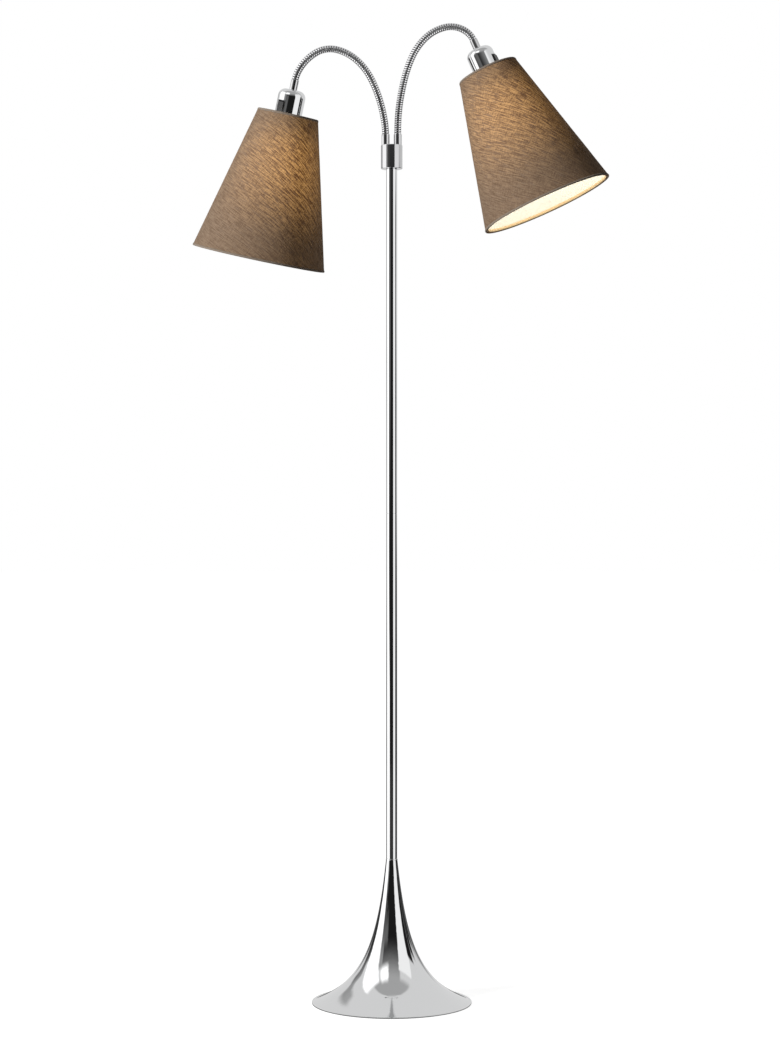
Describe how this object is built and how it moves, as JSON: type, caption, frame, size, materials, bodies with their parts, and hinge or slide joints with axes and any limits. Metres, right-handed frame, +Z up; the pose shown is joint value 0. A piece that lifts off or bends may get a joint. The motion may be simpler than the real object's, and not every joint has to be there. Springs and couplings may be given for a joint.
{
  "type": "gooseneck floor lamp",
  "caption": "Floor lamp with a chrome trumpet base, a straight post and twin flexible necks that each carry a conical linen shade with a rocker switch on its cap.",
  "frame": {"origin": "on the floor, on the axis of the post", "axes": "+Z up along the post, +X to the right through both necks as seen from the front, +Y to the back, where the cord enters the base"},
  "size_m": [0.6367, 0.249, 1.4969],
  "materials": {
    "chrome": "polished",
    "zinc": "zinc plated",
    "iron": "rough cast",
    "felt": "pressed felt",
    "black_plastic": "moulded, satin gloss",
    "white_plastic": "moulded, matt",
    "brass": "bare",
    "white_wire": "powder coated",
    "linen": "slubby linen",
    "lining": "laminated film, matt",
    "bulb_glass": "frosted",
    "bulb_cap": "bare"
  },
  "bodies": {
    "stand": {"arm_ferrules": "chrome", "arm_hub": "chrome", "base_pad": "felt", "base_plate": "zinc", "base_shell": "chrome", "base_weight": "iron", "cord_grommet": "black_plastic", "hub_lid": "chrome", "hub_screw": "zinc", "lower_tube": "chrome", "neck_feet": "chrome", "neck_ring": "chrome", "plate_screws": "zinc", "splice_block": "white_plastic", "tie_nut": "zinc", "tie_rod": "zinc", "tube_joiner": "zinc", "upper_tube": "chrome"},
    "left_link_1": {"left_link_1": "chrome"},
    "left_link_2": {"left_link_2": "chrome"},
    "left_link_3": {"left_link_3": "chrome"},
    "left_link_4": {"left_link_4": "chrome"},
    "left_link_5": {"left_link_5": "chrome"},
    "left_link_6": {"left_link_6": "chrome"},
    "left_head": {"left_neck_end": "chrome", "left_sleeve": "chrome", "left_cap_nut": "zinc", "left_socket_cap": "chrome", "left_switch_frame": "black_plastic", "left_lamp_holder": "white_plastic", "left_socket_contacts": "brass", "left_shade_ring": "white_plastic", "left_shade_carrier": "white_wire", "left_shade_bottom_wire": "white_wire", "left_shade_liner": "lining", "left_shade_fabric": "linen", "left_bulb_cap": "bulb_cap", "left_bulb_glass": "bulb_glass"},
    "left_rocker": {"left_rocker": "black_plastic"},
    "right_link_1": {"right_link_1": "chrome"},
    "right_link_2": {"right_link_2": "chrome"},
    "right_link_3": {"right_link_3": "chrome"},
    "right_link_4": {"right_link_4": "chrome"},
    "right_link_5": {"right_link_5": "chrome"},
    "right_link_6": {"right_link_6": "chrome"},
    "right_head": {"right_neck_end": "chrome", "right_sleeve": "chrome", "right_cap_nut": "zinc", "right_socket_cap": "chrome", "right_switch_frame": "black_plastic", "right_lamp_holder": "white_plastic", "right_socket_contacts": "brass", "right_shade_ring": "white_plastic", "right_shade_carrier": "white_wire", "right_shade_bottom_wire": "white_wire", "right_shade_liner": "lining", "right_shade_fabric": "linen", "right_bulb_cap": "bulb_cap", "right_bulb_glass": "bulb_glass"},
    "right_rocker": {"right_rocker": "black_plastic"}
  },
  "joints": [
    {"name": "left_curl_1", "type": "hinge", "parent": "stand", "child": "left_link_1", "pos_m": [-0.01051, -0.00046, 1.34296], "axis": [0.0036, -0.9986, -0.0522], "range_deg": [-9, 1.2]},
    {"name": "left_sway_1", "type": "hinge", "parent": "left_link_1", "child": "left_link_2", "pos_m": [-0.01804, -0.00377, 1.37679], "axis": [-0.9564, 0.0186, -0.2915], "range_deg": [-15, 15]},
    {"name": "left_curl_2", "type": "hinge", "parent": "left_link_2", "child": "left_link_3", "pos_m": [-0.03104, -0.00848, 1.40874], "axis": [0.0225, -0.9903, -0.1369], "range_deg": [-22.5, 3]},
    {"name": "left_sway_2", "type": "hinge", "parent": "left_link_3", "child": "left_link_4", "pos_m": [-0.0521, -0.01272, 1.43594], "axis": [-0.6698, 0.0867, -0.7375], "range_deg": [-15, 15]},
    {"name": "left_curl_3", "type": "hinge", "parent": "left_link_4", "child": "left_link_5", "pos_m": [-0.08255, -0.01562, 1.45192], "axis": [0.0225, -0.9903, -0.1369], "range_deg": [-22.5, 3]},
    {"name": "left_sway_3", "type": "hinge", "parent": "left_link_5", "child": "left_link_6", "pos_m": [-0.11614, -0.01568, 1.44688], "axis": [0.514, 0.1289, -0.8481], "range_deg": [-15, 15]},
    {"name": "left_curl_4", "type": "hinge", "parent": "left_link_6", "child": "left_head", "pos_m": [-0.14057, -0.01289, 1.42266], "axis": [0.0225, -0.9903, -0.1369], "range_deg": [-22.5, 3]},
    {"name": "left_switch", "type": "hinge", "parent": "left_head", "child": "left_rocker", "pos_m": [-0.16673, -0.01904, 1.36495], "axis": [0.7634, -0.598, -0.2442], "range_deg": [-12, 0]},
    {"name": "right_curl_1", "type": "hinge", "parent": "stand", "child": "right_link_1", "pos_m": [0.0096, 0.00015, 1.34302], "axis": [-0.0003, 0.9998, -0.0174], "range_deg": [-9, 1.2]},
    {"name": "right_sway_1", "type": "hinge", "parent": "right_link_1", "child": "right_link_2", "pos_m": [0.01294, 0.00106, 1.37769], "axis": [0.9877, -0.0035, -0.1564], "range_deg": [-15, 15]},
    {"name": "right_curl_2", "type": "hinge", "parent": "right_link_2", "child": "right_link_3", "pos_m": [0.01989, 0.00226, 1.41181], "axis": [-0.002, 0.9994, -0.0348], "range_deg": [-22.5, 3]},
    {"name": "right_sway_2", "type": "hinge", "parent": "right_link_3", "child": "right_link_4", "pos_m": [0.03122, 0.00343, 1.44471], "axis": [0.9136, -0.0124, -0.4065], "range_deg": [-15, 15]},
    {"name": "right_curl_3", "type": "hinge", "parent": "right_link_4", "child": "right_link_5", "pos_m": [0.05085, 0.00447, 1.47326], "axis": [-0.002, 0.9994, -0.0348], "range_deg": [-22.5, 3]},
    {"name": "right_sway_3", "type": "hinge", "parent": "right_link_5", "child": "right_link_6", "pos_m": [0.08082, 0.00511, 1.4902], "axis": [0.2419, -0.0333, -0.9697], "range_deg": [-15, 15]},
    {"name": "right_curl_4", "type": "hinge", "parent": "right_link_6", "child": "right_head", "pos_m": [0.11406, 0.00497, 1.48404], "axis": [-0.002, 0.9994, -0.0348], "range_deg": [-22.5, 3]},
    {"name": "right_switch", "type": "hinge", "parent": "right_head", "child": "right_rocker", "pos_m": [0.15684, -0.00479, 1.43761], "axis": [0.4271, 0.8899, 0.1601], "range_deg": [-12, 0]}
  ],
  "couplings": [
    {"joint": "left_curl_2", "follows": "left_curl_1", "ratio": 2.5},
    {"joint": "left_sway_2", "follows": "left_sway_1", "ratio": 1},
    {"joint": "left_curl_3", "follows": "left_curl_1", "ratio": 2.5},
    {"joint": "left_sway_3", "follows": "left_sway_1", "ratio": 1},
    {"joint": "left_curl_4", "follows": "left_curl_1", "ratio": 2.5},
    {"joint": "right_curl_2", "follows": "right_curl_1", "ratio": 2.5},
    {"joint": "right_sway_2", "follows": "right_sway_1", "ratio": 1},
    {"joint": "right_curl_3", "follows": "right_curl_1", "ratio": 2.5},
    {"joint": "right_sway_3", "follows": "right_sway_1", "ratio": 1},
    {"joint": "right_curl_4", "follows": "right_curl_1", "ratio": 2.5}
  ]
}
